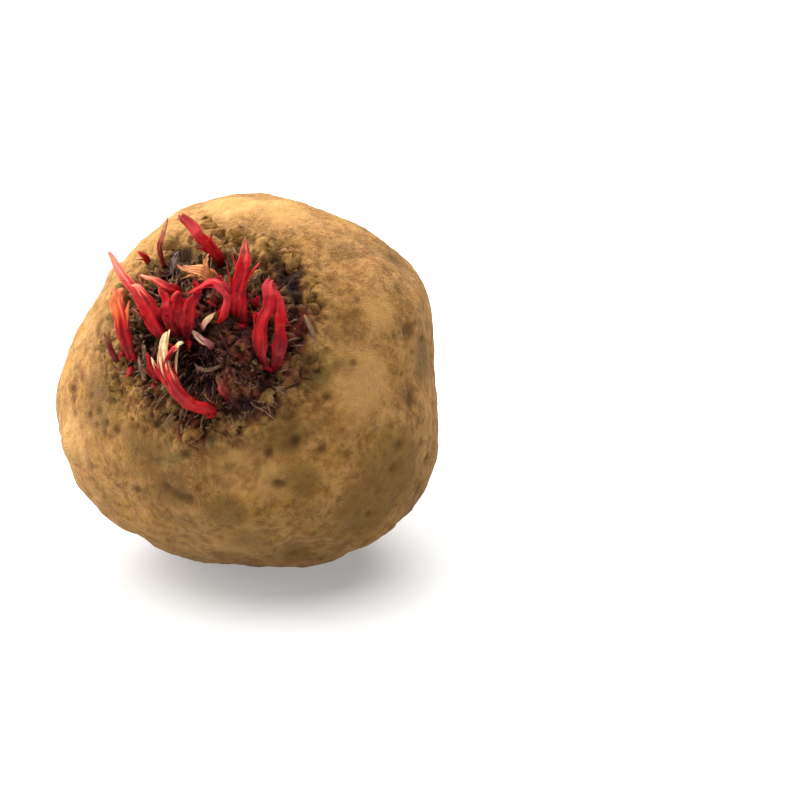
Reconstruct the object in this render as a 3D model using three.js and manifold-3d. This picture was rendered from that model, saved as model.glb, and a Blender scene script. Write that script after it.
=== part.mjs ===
// A whole stored beetroot with its leaves twisted off: one lumpy swollen root with its thin tap root,
// a rough crown, a ring of new red shoots and the dry stubs of the old leaves.
// Sizes are in millimetres. The part stands on the small flat spot it rests on, with +Z up and -Y to
// the front.
import * as THREE from "three";
import Module from "manifold-3d";
import { mergeVertices } from "three/addons/utils/BufferGeometryUtils.js";

// Driving sizes of the root. Places on it are given in its facing frame, from its middle: across, up,
// and towards someone who looks down on its front at the facing tilt.
const MIDDLE_HEIGHT = 43; // the root's middle above the surface it rests on
const FACING_TILT = 20; // degrees above the horizon
const FRONT_REACH = 42; // from the middle to the front
const BACK_REACH = 43; // from the middle to the back
const FULLNESS = 2.15; // 2 is an ellipsoid, and more is boxier
// Radius of the outline as the front is faced, every 30 degrees, from the right and over the top.
const OUTLINE = [44.8, 47.6, 45.3, 45, 42.6, 39.6, 44.1, 46.5, 43.9, 43.6, 47.3, 49.5];
const MEAN_RADIUS = OUTLINE.reduce((sum, r) => sum + r) / OUTLINE.length;

// Swellings and hollows: where they are, how far they stand out, and how many degrees they spread.
const SWELLINGS = [
  { where: [-11, 16, 37], height: 5, spread: 25 }, // the crown's mound
  { where: [-10, 7, 40], height: -2.5, spread: 8 }, // the hollow in the crown
  { where: [-4, 36, 24], height: -1.4, spread: 6 }, // a dimple above the crown
  { where: [8, -22, 36], height: 2, spread: 26 }, // the belly below it
  { where: [30, 22, 24], height: 1.5, spread: 24 }, // the shoulder on the right
  { where: [-22, -6, -38], height: -2.2, spread: 20 }, // a shallow hollow at the back
  { where: [20, 24, -30], height: 1.8, spread: 22 }, // the shoulder behind
];

// The tap root: its direction, how it swells out of the root, and how it bends.
const TAIL_DIRECTION = [9, -4, -40];
const TAIL_FLARE = 60; // millimetres of reach at one degree from its axis
const TAIL_TIP_ANGLE = 2.4; // degrees, which sets how blunt the tip is
const TAIL_FADE = 60; // degrees from its axis where its flare ends
const TAIL_BEND = [0.014, 0.008, 0]; // how far it bends across and up, per square millimetre of its length

const ROOT_SIDES = 52;
const ROOT_ROWS = 56;
const POLE_CROWDING = 0.65; // share by which rows crowd towards the crown and the tail

const SKIN = 0xa27a48;
const RED = 0xb81c20;
const DARK_RED = 0x6e1a18;
const ORANGE = 0xbb6335;
const CREAM = 0xd0a878;
const TAN = 0x8c7048;

// What grows from the crown: strands that each run from a base inside the root to a tip, with their width
// at the base, halfway and at the tip. Strands of the same name grew together and are one piece.
const STRANDS = [
  {
    name: "shoot_top",
    color: RED,
    widths: [2.4, 2.8, 2.6],
    path: [[-3, 25.5, 37], [-3.5, 27.5, 41.5], [-5.5, 29.5, 44], [-7.5, 32, 44.5], [-11, 36, 43]],
  },
  {
    name: "shoot_left_long",
    color: RED,
    widths: [2.7, 2.9, 1.4],
    path: [[-14.5, 9, 40], [-16.5, 11, 44], [-19.5, 16.5, 45], [-24, 23, 42], [-28, 28.5, 37]],
  },
  {
    name: "shoot_left_fork",
    color: RED,
    widths: [2, 2.2, 1.4],
    path: [[-15, 14, 41], [-16, 15, 47.5], [-17.5, 17, 50], [-19.5, 19.5, 49.5], [-21.5, 21, 47.5]],
  },
  {
    name: "shoot_across",
    color: RED,
    widths: [2, 2.2, 1.4],
    path: [[-11, 18.5, 40], [-12.5, 20, 44], [-14, 20.5, 45.5], [-17, 22, 45.5], [-20, 23, 44]],
  },
  {
    name: "shoot_left_low",
    color: RED,
    widths: [2.6, 3.2, 3.2],
    path: [[-22.5, 4, 37], [-23, 7, 41.5], [-24.5, 12.5, 43], [-25.5, 18, 41.5], [-26, 20.5, 39.5]],
  },
  {
    name: "shoot_left_thin",
    color: DARK_RED,
    widths: [1.4, 1.5, 1],
    path: [[-26, 4, 36], [-27, 6.5, 39.5], [-28.5, 10.5, 39.5]],
  },
  {
    name: "shoot_right_tall",
    color: RED,
    widths: [5, 3.6, 2.6],
    path: [[1, 13.5, 41], [1, 16, 45], [1.2, 20, 47], [2.5, 25, 48], [3, 30, 47]],
  },
  {
    name: "shoot_right_folded",
    color: RED,
    widths: [2.2, 3.4, 2.6],
    path: [[8, 2, 40], [6.4, 5, 44.5], [5.8, 9, 46.5], [6.9, 14, 47.5], [7.9, 18.5, 47], [8.3, 22.5, 45]],
  },
  {
    name: "shoot_right_folded",
    color: RED,
    widths: [2.2, 3.2, 2],
    path: [[8.4, 2, 40], [9.8, 5, 44.5], [10.6, 9, 46.3], [10.4, 14, 47], [9.6, 18, 46], [9.4, 20.5, 44.8]],
  },
  {
    name: "shoot_low_curl",
    color: RED,
    widths: [3.8, 3.6, 2.4],
    path: [
      [-4.5, -6.6, 40], [-6, -6, 45.5], [-9.6, -4.4, 47.5], [-13, -0.6, 49], [-14.5, 4.6, 49],
      [-14, 10.5, 48],
    ],
  },
  {
    name: "shoot_low_curl",
    color: RED,
    widths: [1.8, 1.8, 1.2],
    path: [[-14.3, 3.5, 49], [-13, 6.5, 49.5], [-11, 8, 49.5]],
  },
  {
    name: "shoot_low_thin",
    color: RED,
    widths: [1.6, 1.5, 1],
    path: [[-16.5, 0, 41], [-17.5, 1.5, 44], [-18, 3.5, 45.5], [-18.5, 6, 46]],
  },
  {
    name: "shoot_centre",
    color: RED,
    widths: [4.4, 5.4, 4],
    path: [[-12, 8.5, 40], [-11.5, 11, 44], [-11, 15.5, 46.5], [-11, 19.5, 47.5]],
  },
  {
    name: "shoot_arch",
    color: RED,
    widths: [2.6, 2.6, 1.8],
    path: [
      [-3, 12.5, 41], [-1.5, 15, 48], [-0.7, 18.5, 51], [-2.8, 20.8, 51.5], [-5.6, 21, 51.5], [-9, 19, 50.5],
    ],
  },
  {
    name: "shoot_under_arch",
    color: DARK_RED,
    widths: [1.6, 1.8, 1],
    path: [[-5.5, 15.5, 40], [-4.5, 17, 44], [-4, 20, 46.5]],
  },
  {
    name: "dry_leaf",
    color: ORANGE,
    widths: [1.8, 2.8, 1.8],
    path: [[-3, 21.5, 39], [-5, 23, 43.5], [-7.5, 24, 44.5], [-10.5, 24.5, 44]],
  },
  {
    name: "dry_leaf",
    color: ORANGE,
    widths: [1.8, 1.4, 0.8],
    path: [[-5.8, 23.2, 43.8], [-5.8, 25, 45.5], [-5.5, 27, 46.5]],
  },
  {
    name: "pale_sliver_upper",
    color: CREAM,
    widths: [1.2, 1.3, 1],
    path: [[-7, 11, 41], [-6.5, 12, 45], [-5.5, 13.2, 46.5], [-3.8, 14.8, 47]],
  },
  {
    name: "pale_sliver_lower",
    color: CREAM,
    widths: [2, 1.8, 1.2],
    path: [[-4, 7, 41], [-5, 8, 45], [-6.5, 9, 46], [-8.5, 11, 46]],
  },
  {
    name: "dry_stalk_top",
    color: DARK_RED,
    widths: [1.4, 1.2, 0.9],
    path: [[-16, 25.5, 35], [-16.5, 29, 39.5], [-16, 32, 40], [-15, 35.5, 39]],
  },
  {
    name: "bud_top_left",
    color: RED,
    widths: [1.6, 1.6, 1],
    path: [[-19.5, 26, 32], [-20, 27.5, 36], [-21.5, 28.5, 37]],
  },
  {
    name: "dry_sheath_grey",
    color: TAN,
    widths: [1.4, 1.4, 1],
    path: [[-14, 23, 37], [-13.5, 25.5, 41.5], [-12, 28.5, 42]],
  },
  {
    name: "bud_dark",
    color: DARK_RED,
    widths: [2.6, 2.8, 1.8],
    path: [[-0.5, -4, 41], [-1.5, -2, 45], [-3.5, 0.5, 46]],
  },
  {
    name: "bud_right",
    color: RED,
    widths: [1.8, 1.8, 1.2],
    path: [[4.8, 16, 40], [5, 17, 42.5], [5.5, 18.5, 44]],
  },
  {
    name: "dry_fibre_left_1",
    color: TAN,
    widths: [1, 1, 0.8],
    path: [[-19.5, -1, 38], [-20, 2, 42.5], [-21, 5.5, 42.5]],
  },
  {
    name: "dry_fibre_left_2",
    color: TAN,
    widths: [1, 1, 0.8],
    path: [[-20, 4, 38], [-19.5, 6, 43], [-19.5, 8.5, 43.5]],
  },
  {
    name: "dry_fibre_middle",
    color: TAN,
    widths: [1, 1, 0.8],
    path: [[-9, 4, 39], [-7, 2.5, 43.5], [-4.5, 2.5, 44.5], [-2, 4, 44]],
  },
  {
    name: "dry_fibre_right",
    color: TAN,
    widths: [1.4, 1.2, 1],
    path: [[17.5, 8, 36.5], [17, 11, 40.5], [15.5, 14.5, 40.5]],
  },
];
const FRONT = new THREE.Vector3(0, 0, 1);
const FLATNESS = 0.65; // a strand's thickness as a share of its width
const BLUNTNESS = 12; // the higher, the nearer to its tip a strand keeps its width
const STRAND_SIDES = 8;
const STRAND_ROWS = 12;

// The broad stubs of the old leaves round the crown: where they come out of the root, and how wide they are.
const STUBS = [
  { at: [4.3, 23, 39.6], width: 2.4 },
  { at: [12, 26.5, 35], width: 5 },
  { at: [16, 18.5, 37.8], width: 4.4 },
  { at: [17.5, 3.5, 40], width: 3.6 },
  { at: [6, 30, 34], width: 4.2 },
  { at: [-0.5, 32.5, 33], width: 4 },
  { at: [-7, 35, 29.4], width: 5 },
  { at: [-15.5, 31, 31], width: 3.8 },
  { at: [-21, 24, 34], width: 3.6 },
  { at: [-25.5, 20, 33.4], width: 4 },
  { at: [-28.5, 8.5, 34.5], width: 3.8 },
  { at: [-26, -0.5, 37.4], width: 3.6 },
  { at: [-19, -6.5, 40], width: 4.6 },
  { at: [-9.5, -11.5, 41.5], width: 5.6 },
  { at: [0.5, -10, 43], width: 4.4 },
  { at: [7, -3.5, 43.2], width: 5 },
  { at: [13, 4, 41.6], width: 4 },
];
const CROWN_CENTRE = [-9, 13, 44];
const STUB_DEPTH = 4; // how far a stub starts inside the root
const STUB_HEIGHT = 2.2; // how far it stands out
const STUB_LEAN = 1.4; // how far its end leans away from the crown's centre
const STUB_FLATNESS = 0.4;

const ROOT_GAP = 0.3; // between the root and what grows from it

const rad = THREE.MathUtils.degToRad;

// The outline's radius at an angle, on a smooth closed curve through the values of OUTLINE.
function outlineRadius(angle) {
  const place = THREE.MathUtils.euclideanModulo(angle / (2 * Math.PI), 1) * OUTLINE.length;
  const i = Math.floor(place);
  const t = place - i;
  const [a, b, c, d] = [-1, 0, 1, 2].map((k) => OUTLINE[(i + k + OUTLINE.length) % OUTLINE.length]);
  return b + 0.5 * t * (c - a + t * (2 * a - 5 * b + 4 * c - d + t * (3 * (b - c) + d - a)));
}

const tailAxis = new THREE.Vector3(...TAIL_DIRECTION).normalize();
const tailBend = new THREE.Vector3(...TAIL_BEND);
const swellings = SWELLINGS.map(({ where, height, spread }) => ({
  axis: new THREE.Vector3(...where).normalize(),
  height,
  spread: rad(spread),
}));

// How far the root reaches in a direction of the facing frame. The outline's lobes fade towards the
// front and the back.
function reach(direction) {
  const side = Math.hypot(direction.x, direction.y);
  const depth = direction.z > 0 ? FRONT_REACH : BACK_REACH;
  const rim = outlineRadius(Math.atan2(direction.y, direction.x));
  const outline = THREE.MathUtils.lerp(MEAN_RADIUS, rim, side ** 2);
  let r = ((side / outline) ** FULLNESS + (Math.abs(direction.z) / depth) ** FULLNESS) ** (-1 / FULLNESS);
  for (const { axis, height, spread } of swellings) {
    r += height * Math.exp(-((direction.angleTo(axis) / spread) ** 2));
  }
  const fromTail = THREE.MathUtils.radToDeg(direction.angleTo(tailAxis));
  const fade = THREE.MathUtils.smoothstep(TAIL_FADE - fromTail, 0, TAIL_FADE);
  return r + (fade * TAIL_FLARE) / Math.hypot(fromTail, TAIL_TIP_ANGLE);
}

// The root as a ball whose poles are the crown and the tail, drawn out to its reach, bent at the tail
// and flattened where it rests. Extra grows it all over.
function rootGeometry(extra = 0) {
  const ball = new THREE.SphereGeometry(1, ROOT_SIDES, ROOT_ROWS);
  const toTail = new THREE.Quaternion().setFromUnitVectors(new THREE.Vector3(0, -1, 0), tailAxis);
  const upInFacing = new THREE.Vector3(0, Math.cos(rad(FACING_TILT)), Math.sin(rad(FACING_TILT)));
  const places = ball.getAttribute("position");
  const point = new THREE.Vector3();
  for (let i = 0; i < places.count; i++) {
    point.fromBufferAttribute(places, i);
    const polar = Math.acos(THREE.MathUtils.clamp(point.y, -1, 1));
    const crowded = polar - 0.5 * POLE_CROWDING * Math.sin(2 * polar);
    const turn = Math.atan2(point.x, point.z);
    point.setFromSphericalCoords(1, crowded, turn).applyQuaternion(toTail);
    point.multiplyScalar(reach(point) + extra);
    const beyond = Math.max(0, point.dot(tailAxis) - BACK_REACH);
    point.addScaledVector(tailBend, beyond ** 2);
    const height = MIDDLE_HEIGHT + point.dot(upInFacing);
    if (height < -extra) point.addScaledVector(upInFacing, -extra - height);
    places.setXYZ(i, ...point);
  }
  ball.computeVertexNormals();
  return ball;
}

// A strand as a ball drawn out along its path, with its flat side to the front or to what it faces.
// Its width follows the parabola through its three widths.
function strandGeometry({ path, widths: [base, middle, tip], flatness = FLATNESS, facing = FRONT }) {
  const ball = new THREE.SphereGeometry(1, STRAND_SIDES, STRAND_ROWS);
  const curve = new THREE.CatmullRomCurve3(path.map((p) => new THREE.Vector3(...p)), false, "centripetal");
  const places = ball.getAttribute("position");
  const point = new THREE.Vector3();
  for (let i = 0; i < places.count; i++) {
    point.fromBufferAttribute(places, i);
    const t = Math.acos(THREE.MathUtils.clamp(point.y, -1, 1)) / Math.PI;
    const round = Math.hypot(point.x, point.z) || 1;
    const width = base * (1 - t) * (1 - 2 * t) + 4 * middle * t * (1 - t) + tip * t * (2 * t - 1);
    const radius = t > 0 ? (width / 2) * Math.sqrt(Math.max(0, 1 - t ** BLUNTNESS)) : 0;
    const tangent = curve.getTangentAt(t);
    const side = tangent.clone().cross(facing).normalize();
    const out = tangent.clone().cross(side);
    const across = (radius * point.x) / round;
    const deep = (radius * flatness * point.z) / round;
    point.copy(curve.getPointAt(t)).addScaledVector(side, across).addScaledVector(out, deep);
    places.setXYZ(i, ...point);
  }
  return ball;
}

const wasm = await Module();
wasm.setup();

// A closed geometry as a solid that can be joined and cut.
function solidOf(geometry) {
  const bare = geometry.clone();
  bare.deleteAttribute("normal");
  bare.deleteAttribute("uv");
  const { index, attributes } = mergeVertices(bare);
  const vertProperties = attributes.position.array;
  const triVerts = new Uint32Array(index.array);
  return new wasm.Manifold(new wasm.Mesh({ numProp: 3, vertProperties, triVerts }));
}

function geometryOf(solid) {
  const { vertProperties, triVerts } = solid.getMesh();
  const geometry = new THREE.BufferGeometry();
  geometry.setAttribute("position", new THREE.BufferAttribute(vertProperties, 3));
  geometry.setIndex(new THREE.BufferAttribute(triVerts, 1));
  geometry.computeVertexNormals();
  return geometry;
}

const rootWithGap = solidOf(rootGeometry(ROOT_GAP));

// One piece that grows from the crown: its strands joined, without what would be inside the root.
function grown(name, color, geometries) {
  const whole = geometries.map(solidOf).reduce((joined, solid) => joined.add(solid));
  const outside = whole.subtract(rootWithGap).decompose();
  const piece = outside.reduce((most, solid) => (solid.volume() > most.volume() ? solid : most));
  const mesh = new THREE.Mesh(
    geometryOf(piece),
    new THREE.MeshStandardMaterial({ color, roughness: 0.6, metalness: 0 }),
  );
  mesh.name = name;
  return mesh;
}

function stub({ at, width }, i) {
  const place = new THREE.Vector3(...at);
  const outward = place.clone().normalize();
  const away = place.clone().sub(new THREE.Vector3(...CROWN_CENTRE)).projectOnPlane(outward).normalize();
  const base = place.clone().addScaledVector(outward, -STUB_DEPTH);
  const end = place.clone().addScaledVector(outward, STUB_HEIGHT).addScaledVector(away, STUB_LEAN);
  const path = [base, place, end].map((p) => p.toArray());
  const widths = [width, width, 0.8 * width];
  const name = `old_leaf_stub_${String(i + 1).padStart(2, "0")}`;
  return grown(name, TAN, [strandGeometry({ path, widths, flatness: STUB_FLATNESS, facing: away })]);
}

const facing = new THREE.Group();
facing.position.z = MIDDLE_HEIGHT;
facing.rotation.x = rad(90 - FACING_TILT);

const root = new THREE.Mesh(
  rootGeometry(),
  new THREE.MeshStandardMaterial({ color: SKIN, roughness: 0.85, metalness: 0 }),
);
root.name = "root";
facing.add(root);

for (const name of new Set(STRANDS.map((strand) => strand.name))) {
  const strands = STRANDS.filter((strand) => strand.name === name);
  facing.add(grown(name, strands[0].color, strands.map(strandGeometry)));
}
facing.add(...STUBS.map(stub));

const beetroot = new THREE.Group();
beetroot.add(facing);

export default beetroot;
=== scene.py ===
"""A whole stored beetroot: a lumpy tan root with its thin tap root, a rough soiled crown, new red shoots
and the dry stubs of its old leaves, on a white table under soft studio light."""

import random
from math import acos, atan2, cos, exp, pi, radians, sin, sqrt

import bmesh
import bpy
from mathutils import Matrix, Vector, noise
from mathutils.bvhtree import BVHTree
from mathutils.kdtree import KDTree


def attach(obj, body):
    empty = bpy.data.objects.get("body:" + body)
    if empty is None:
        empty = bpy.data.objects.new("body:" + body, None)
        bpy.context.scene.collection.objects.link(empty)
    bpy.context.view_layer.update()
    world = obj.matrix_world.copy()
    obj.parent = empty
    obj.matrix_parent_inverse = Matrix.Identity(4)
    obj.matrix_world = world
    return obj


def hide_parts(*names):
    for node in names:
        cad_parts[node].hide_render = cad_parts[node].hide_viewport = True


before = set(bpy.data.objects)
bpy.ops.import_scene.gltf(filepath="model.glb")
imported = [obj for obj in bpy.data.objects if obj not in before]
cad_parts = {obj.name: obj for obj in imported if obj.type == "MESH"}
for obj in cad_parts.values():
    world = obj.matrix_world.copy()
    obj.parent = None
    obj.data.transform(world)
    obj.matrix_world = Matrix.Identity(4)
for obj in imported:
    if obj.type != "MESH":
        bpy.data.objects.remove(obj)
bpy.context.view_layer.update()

MM = 0.001
BODY = "root"
WANDER_SEED = 3
noise.seed_set(WANDER_SEED)

# The crown's facing frame: places are given across, up and towards someone who looks down on the crown at
# the facing tilt, in millimetres from the root's middle.
ROOT_MIDDLE = Vector((0, 0, 0.043))
FACING_TILT = radians(20)
ACROSS = Vector((1, 0, 0))
UP = Vector((0, sin(FACING_TILT), cos(FACING_TILT)))
TOWARDS = Vector((0, -cos(FACING_TILT), sin(FACING_TILT)))


def place(across, up, towards):
    """A point of the facing frame, in metres."""
    return ROOT_MIDDLE + (ACROSS * across + UP * up + TOWARDS * towards) * MM


def facing(point):
    """A point's place across, up and towards the viewer, in millimetres."""
    offset = (point - ROOT_MIDDLE) / MM
    return offset.dot(ACROSS), offset.dot(UP), offset.dot(TOWARDS)


def ease(value, low, high):
    """Goes smoothly from 0 at low to 1 at high."""
    share = min(max((value - low) / (high - low), 0), 1)
    return share * share * (3 - 2 * share)


def tint(red, green, blue):
    """A colour named by its 8-bit screen values, as linear light."""
    return (*(((c / 255 + 0.055) / 1.055) ** 2.4 for c in (red, green, blue)), 1)


# Camera and light

VIEW_REACH = 0.528
LENS = 99.8
AIM = place(36.43, -4.05, 0)
LAMP_COLOR = (1, 0.99, 0.97)
ROOM_LIGHT = 0.12

camera_data = bpy.data.cameras.new("camera")
camera_data.lens = LENS
camera_data.clip_start = 0.01
camera = bpy.data.objects.new("camera", camera_data)
camera.location = AIM + TOWARDS * VIEW_REACH
camera.rotation_euler = (pi / 2 - FACING_TILT, 0, 0)
bpy.context.scene.collection.objects.link(camera)
bpy.context.scene.camera = camera
bpy.context.scene.view_settings.view_transform = "Standard"


def new_piece(name, mesh_maker, material):
    """Makes a smooth piece from a bmesh and frees the bmesh."""
    bmesh.ops.recalc_face_normals(mesh_maker, faces=mesh_maker.faces)
    mesh = bpy.data.meshes.new(name)
    mesh_maker.to_mesh(mesh)
    mesh_maker.free()
    mesh.materials.append(material)
    mesh.shade_smooth()
    piece = bpy.data.objects.new(name, mesh)
    bpy.context.scene.collection.objects.link(piece)
    return piece


def add_light(name, towards, strength, spread):
    """Adds a wide soft light, faintly warm, that comes from the given direction."""
    data = bpy.data.lights.new(name, "SUN")
    data.energy = strength
    data.angle = radians(spread)
    data.color = LAMP_COLOR
    light = bpy.data.objects.new(name, data)
    light.rotation_euler = Vector(towards).to_track_quat("Z", "Y").to_euler()
    bpy.context.scene.collection.objects.link(light)


add_light("top_softbox", (-0.12, 0.3, 0.94), 8.4, 100)
add_light("left_softbox", (-0.9, 0.1, 0.42), 5.2, 70)

world = bpy.data.worlds.new("studio")
bpy.context.scene.world = world
world.use_nodes = True
world.node_tree.nodes["Background"].inputs["Color"].default_value = (1, 1, 1, 1)
world.node_tree.nodes["Background"].inputs["Strength"].default_value = ROOM_LIGHT

# Materials

MIX_FACTOR, MIX_FIRST, MIX_SECOND, MIX_RESULT = 0, 6, 7, 2
PATCH_INPUTS = ("Color", "Patch", "Per Metre", "Cover", "Edge", "Strength", "Seed")


def fill(tree, node, inputs):
    """Fills a node's inputs with values or with other nodes' outputs, and returns the node."""
    for name, value in inputs.items():
        if isinstance(value, bpy.types.NodeSocket):
            tree.links.new(value, node.inputs[name])
        else:
            node.inputs[name].default_value = value
    return node


def add(tree, kind, inputs, **settings):
    """Adds a shader node with its settings and its inputs."""
    node = tree.nodes.new("ShaderNode" + kind)
    for name, value in settings.items():
        setattr(node, name, value)
    return fill(tree, node, inputs)


def blend(tree, share, first, second):
    """Mixes two colours and returns the result's socket."""
    inputs = {MIX_FACTOR: share, MIX_FIRST: first, MIX_SECOND: second}
    return add(tree, "Mix", inputs, data_type="RGBA").outputs[MIX_RESULT]


def work_out(tree, how, first, second, clamp=False):
    """Works a value out of two others and returns its socket."""
    return add(tree, "Math", {0: first, 1: second}, operation=how, use_clamp=clamp).outputs[0]


def times(tree, first, second):
    """Multiplies two values, keeps the result between 0 and 1, and returns its socket."""
    return work_out(tree, "MULTIPLY", first, second, True)


def cover(tree, color, mask, strength, over):
    """Lays a colour over another where a mask says so, at a strength."""
    return blend(tree, times(tree, mask, strength), color, over)


def spread_out(tree, value, low, high):
    """Stretches a value so that it goes smoothly from 0 at low to 1 at high."""
    inputs = {"Value": value, "From Min": low, "From Max": high}
    return add(tree, "MapRange", inputs, interpolation_type="SMOOTHSTEP").outputs["Result"]


def attribute(tree, name):
    """A value that the mesh holds at each of its points."""
    return add(tree, "Attribute", {}, attribute_name=name).outputs["Fac"]


def object_coordinates(tree):
    """A point's place on the object, in metres."""
    return add(tree, "TexCoord", {}).outputs["Object"]


def clouds(tree, spot, scale, detail):
    """Cloudy noise of a scale, with finer and finer clouds in it."""
    return add(tree, "TexNoise", {"Vector": spot, "Scale": scale, "Detail": detail}).outputs["Fac"]


def new_group(name, values, colors, outputs):
    """Starts a node group with named value and colour inputs, and returns it with its ends."""
    group = bpy.data.node_groups.new(name, "ShaderNodeTree")
    for socket, value in values.items():
        made = group.interface.new_socket(socket, in_out="INPUT", socket_type="NodeSocketFloat")
        made.default_value = value
    for socket in colors:
        group.interface.new_socket(socket, in_out="INPUT", socket_type="NodeSocketColor")
    for socket, kind in outputs.items():
        group.interface.new_socket(socket, in_out="OUTPUT", socket_type="NodeSocket" + kind)
    return group, group.nodes.new("NodeGroupInput").outputs, group.nodes.new("NodeGroupOutput").inputs


def make_patches_group():
    """Soft blotches of a second colour, of a size, amount and edge that the material chooses."""
    values = {"Per Metre": 100, "Cover": 0.5, "Edge": 0.1, "Strength": 1, "Seed": 0}
    group, given, result = new_group("patches", values, ("Color", "Patch"), {"Color": "Color"})
    shift = add(group, "CombineXYZ", {axis: given["Seed"] for axis in "XYZ"}).outputs[0]
    spot = add(group, "VectorMath", {0: object_coordinates(group), 1: shift}, operation="ADD").outputs[0]
    pattern = clouds(group, spot, given["Per Metre"], 3)
    low = work_out(group, "SUBTRACT", given["Cover"], given["Edge"])
    high = work_out(group, "ADD", given["Cover"], given["Edge"])
    mask = times(group, spread_out(group, pattern, low, high), given["Strength"])
    group.links.new(blend(group, mask, given["Color"], given["Patch"]), result["Color"])
    return group


def make_grit_group():
    """The height of a dry granular surface: coarse grains, with fine ones a quarter of their size."""
    group, given, result = new_group("grit", {"Per Metre": 1000, "Fine": 0.5}, (), {"Height": "Float"})
    spot = object_coordinates(group)
    coarse = clouds(group, spot, given["Per Metre"], 4)
    fine = clouds(group, spot, work_out(group, "MULTIPLY", given["Per Metre"], 4), 2)
    fine = work_out(group, "MULTIPLY", fine, given["Fine"])
    group.links.new(work_out(group, "ADD", coarse, fine), result["Height"])
    return group


def make_veins_group():
    """Fine streaks that run along a stalk, from the places along and round it that its mesh holds."""
    group, given, result = new_group("veins", {"Round": 7, "Along": 2.5}, (), {"Streak": "Float"})
    around = work_out(group, "MULTIPLY", attribute(group, "around"), given["Round"])
    along = work_out(group, "MULTIPLY", attribute(group, "along"), given["Along"])
    spot = add(group, "CombineXYZ", {"X": around, "Y": along, "Z": attribute(group, "strand")}).outputs[0]
    group.links.new(clouds(group, spot, 1, 3), result["Streak"])
    return group


PATCHES = make_patches_group()
GRIT = make_grit_group()
VEINS = make_veins_group()


def use_group(tree, group, inputs):
    """Places a shared effect in a material, with its own values."""
    node = tree.nodes.new("ShaderNodeGroup")
    node.node_tree = group
    return fill(tree, node, inputs)


def patches(tree, color, *layers):
    """Lays soft blotches over a colour, layer on layer, and returns the colour's socket.

    A layer is its colour, its clouds per metre, how much stays bare, how soft its edge is, its strength and
    the seed that sets its pattern apart.
    """
    for layer in layers:
        color = use_group(tree, PATCHES, dict(zip(PATCH_INPUTS, (color, *layer)))).outputs["Color"]
    return color


def grit(tree, per_metre, fine):
    """The height of a granular surface, with a share of fine grains."""
    return use_group(tree, GRIT, {"Per Metre": per_metre, "Fine": fine}).outputs["Height"]


def veins(tree, around, along):
    """The streaks of a stalk, of which so many lie round it and along it."""
    return use_group(tree, VEINS, {"Round": around, "Along": along}).outputs["Streak"]


def bump(tree, height, depth, under=None):
    """A bump of the given depth in metres, over another one if there is one, and returns its normal."""
    inputs = {"Height": height, "Distance": depth}
    if under:
        inputs["Normal"] = under
    return add(tree, "Bump", inputs).outputs["Normal"]


def new_material(name):
    """Starts a material and returns it with its node tree."""
    material = bpy.data.materials.new(name)
    material.use_nodes = True
    return material, material.node_tree


def finish_material(material, inputs):
    """Fills a material's shader and returns the material."""
    fill(material.node_tree, material.node_tree.nodes["Principled BSDF"], inputs)
    return material


TAN = tint(160, 118, 60)
GOLD = tint(173, 127, 56)
PEACH = tint(184, 137, 82)
# the tan of painted highlight on the skin
HIGHLIGHT_TAN = tint(192, 146, 84)
OLIVE = tint(112, 82, 36)
UMBER = tint(84, 54, 16)
RUST = tint(134, 84, 38)
SOIL = tint(122, 86, 43)
DARK_SOIL = tint(56, 32, 13)
DUST = tint(152, 114, 66)
MAROON = tint(98, 28, 16)
PURPLE = tint(96, 40, 34)
MOSS = tint(118, 116, 62)
HUSK = tint(138, 86, 50)
BLACK_RED = tint(34, 12, 7)
# Heights in metres below which the skin darkens towards the table, and at which it is fully darkened:
# painted shade.
SHADED_BELOW_HEIGHT, FULLY_SHADED_HEIGHT = 0.036, 0.004


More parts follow.
